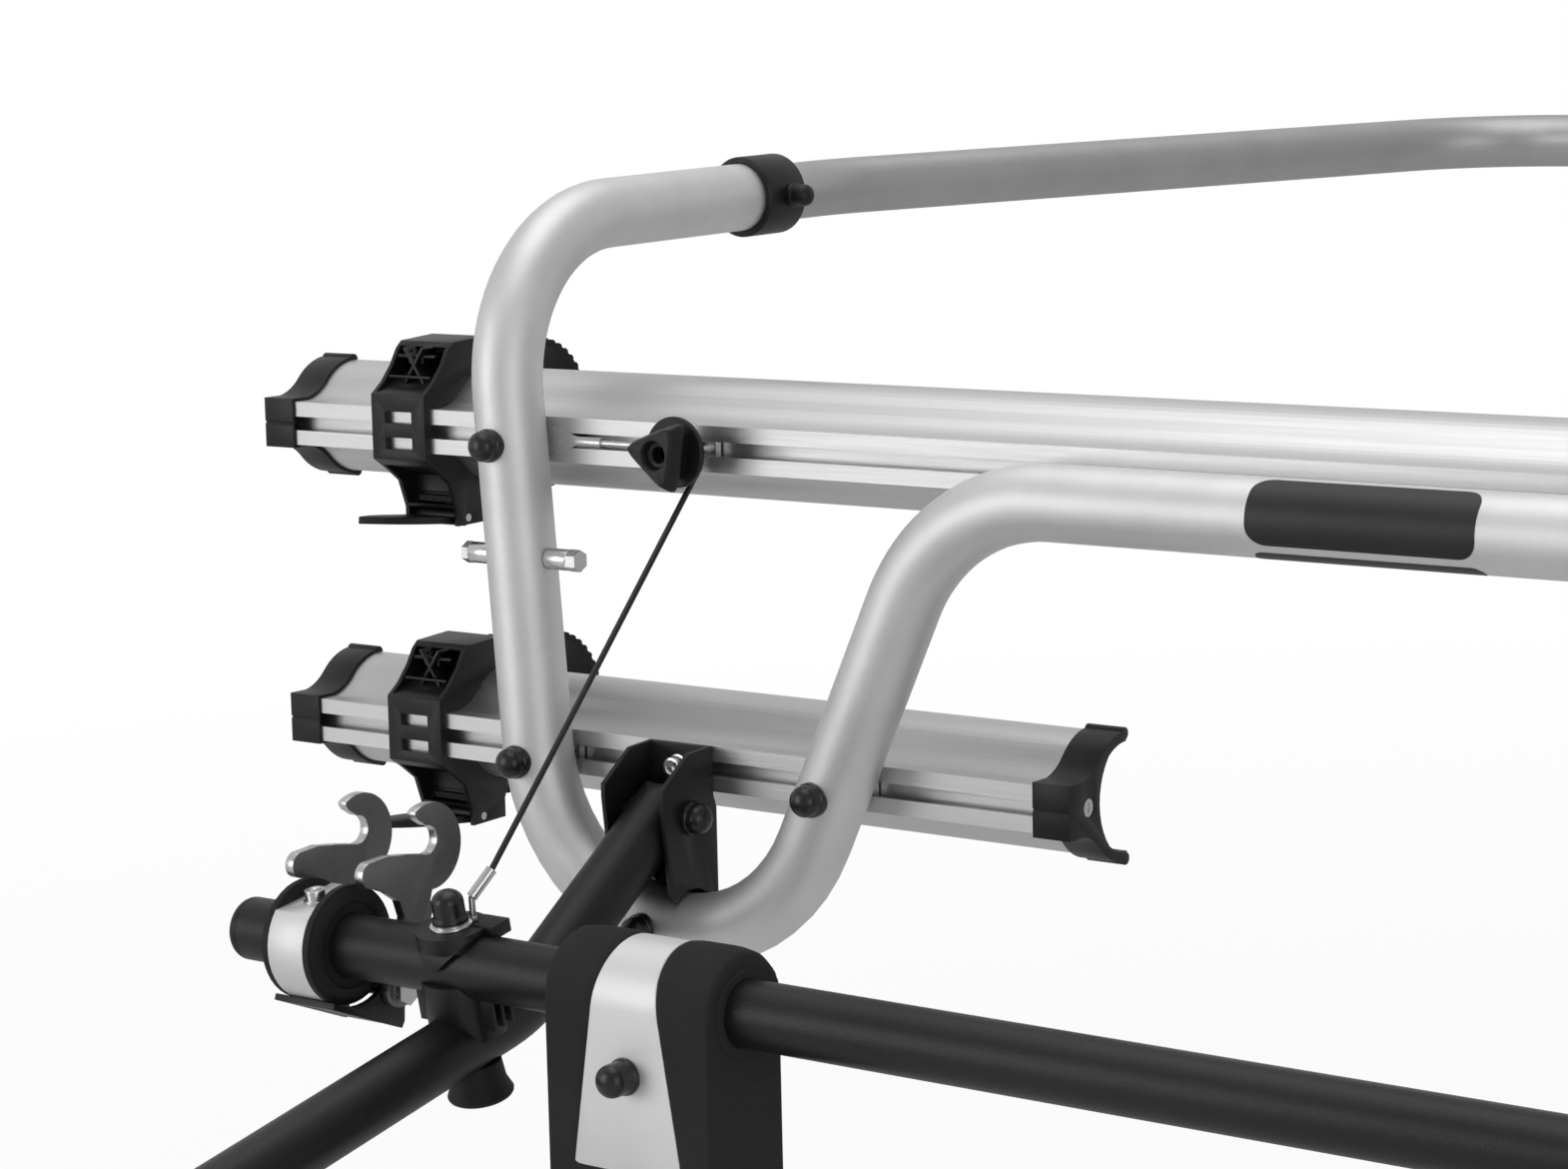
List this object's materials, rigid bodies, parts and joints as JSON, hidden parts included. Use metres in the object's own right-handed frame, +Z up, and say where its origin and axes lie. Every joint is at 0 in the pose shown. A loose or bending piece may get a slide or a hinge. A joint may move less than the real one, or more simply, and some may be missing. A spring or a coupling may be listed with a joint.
{
  "type": "tow bar bike carrier",
  "caption": "Drawbar bicycle carrier: bent tube frame with wheel rails and hoop that tilts on two arms, with side latches and stay wires.",
  "frame": {"origin": "midway between the mounting bores at the front ends of the two arms", "axes": "+X along the wheel rails, +Y from the mounting bores back to the tray frame, +Z up"},
  "size_m": [1.318, 1.1246, 0.477],
  "materials": {
    "black_steel": "satin black powder coat",
    "satin_tube": "satin anodised",
    "satin_rail": "satin anodised extrusion",
    "strap_aluminium": "matt aluminium sheet",
    "black_plastic": "moulded, lightly grained",
    "black_rubber": "matt rubber",
    "black_foam": "closed-cell foam",
    "zinc_steel": "bright zinc",
    "claw_steel": "dull grey plate with bright cut edges",
    "wire_coat": "black wire coat",
    "label_film": "plain black film"
  },
  "bodies": {
    "drawbar_frame": {"cross_tube": "black_steel", "tube_end_caps": "black_plastic", "left_arm": "black_steel", "right_arm": "black_steel", "upper_saddles": "black_plastic", "lower_saddles": "black_plastic", "saddle_feet": "black_rubber", "base_bolts": "zinc_steel", "saddle_washers": "zinc_steel", "base_cap_nuts": "black_plastic", "left_foam_pad": "black_foam", "right_foam_pad": "black_foam", "pad_straps": "strap_aluminium", "clamp_rings": "black_rubber", "clamp_bands": "strap_aluminium", "clamp_screws": "zinc_steel", "latch_brackets": "black_steel", "latch_pivot_bolts": "zinc_steel", "lower_wire_ends": "zinc_steel", "left_stay_wire": "wire_coat", "right_stay_wire": "wire_coat"},
    "tray_frame": {"frame_tube": "satin_tube", "hoop_tube": "satin_tube", "hoop_collars": "black_plastic", "collar_screws": "black_plastic", "label_films": "label_film", "upper_rail": "satin_rail", "left_lower_rail": "satin_rail", "right_lower_rail": "satin_rail", "rail_end_caps": "black_plastic", "end_cap_screws": "zinc_steel", "frame_bolts": "zinc_steel", "bolt_caps": "black_plastic", "t_nuts": "zinc_steel", "latch_pins": "zinc_steel", "latch_pin_spacers": "zinc_steel", "left_hinge_bracket": "black_steel", "right_hinge_bracket": "black_steel", "hinge_bolts": "zinc_steel", "bracket_screws": "zinc_steel", "upper_left_strap_holder": "black_plastic", "upper_right_strap_holder": "black_plastic", "lower_left_strap_holder": "black_plastic", "lower_right_strap_holder": "black_plastic", "lever_pins": "zinc_steel", "upper_ladder_straps": "black_rubber", "lower_ladder_straps": "black_rubber", "knob_bolts": "zinc_steel", "upper_wire_ends": "zinc_steel"},
    "left_latch": {"left_latch_claws": "claw_steel", "left_latch_sleeve": "zinc_steel"},
    "right_latch": {"right_latch_claws": "claw_steel", "right_latch_sleeve": "zinc_steel"},
    "upper_left_lever": {"upper_left_lever": "black_plastic"},
    "upper_right_lever": {"upper_right_lever": "black_plastic"},
    "lower_left_lever": {"lower_left_lever": "black_plastic"},
    "lower_right_lever": {"lower_right_lever": "black_plastic"},
    "left_knob": {"left_knob": "black_plastic"},
    "right_knob": {"right_knob": "black_plastic"}
  },
  "joints": [
    {"name": "tray_tilt", "type": "hinge", "parent": "drawbar_frame", "child": "tray_frame", "pos_m": [0, 0.42, 0.1327], "axis": [1, 0, 0], "range_deg": [0, 88.5], "deforming": ["left_stay_wire", "right_stay_wire"]},
    {"name": "left_latch_swing", "type": "hinge", "parent": "drawbar_frame", "child": "left_latch", "pos_m": [-0.46965, 0.295, 0.0657], "axis": [1, 0, 0], "range_deg": [-12, 14]},
    {"name": "right_latch_swing", "type": "hinge", "parent": "drawbar_frame", "child": "right_latch", "pos_m": [0.46965, 0.295, 0.0657], "axis": [1, 0, 0], "range_deg": [-12, 14]},
    {"name": "upper_left_lever_swing", "type": "hinge", "parent": "tray_frame", "child": "upper_left_lever", "pos_m": [-0.563, 0.4651, 0.262], "axis": [1, 0, 0], "range_deg": [0, 70]},
    {"name": "upper_right_lever_swing", "type": "hinge", "parent": "tray_frame", "child": "upper_right_lever", "pos_m": [0.563, 0.4651, 0.262], "axis": [1, 0, 0], "range_deg": [0, 70]},
    {"name": "lower_left_lever_swing", "type": "hinge", "parent": "tray_frame", "child": "lower_left_lever", "pos_m": [-0.5595, 0.4651, 0.1067], "axis": [1, 0, 0], "range_deg": [0, 70]},
    {"name": "lower_right_lever_swing", "type": "hinge", "parent": "tray_frame", "child": "lower_right_lever", "pos_m": [0.5595, 0.4651, 0.1067], "axis": [1, 0, 0], "range_deg": [0, 70]},
    {"name": "left_knob_turn", "type": "hinge", "parent": "tray_frame", "child": "left_knob", "pos_m": [-0.373, 0.415, 0.3088], "axis": [0, -1, 0], "continuous": true},
    {"name": "right_knob_turn", "type": "hinge", "parent": "tray_frame", "child": "right_knob", "pos_m": [0.373, 0.415, 0.3088], "axis": [0, -1, 0], "continuous": true}
  ]
}
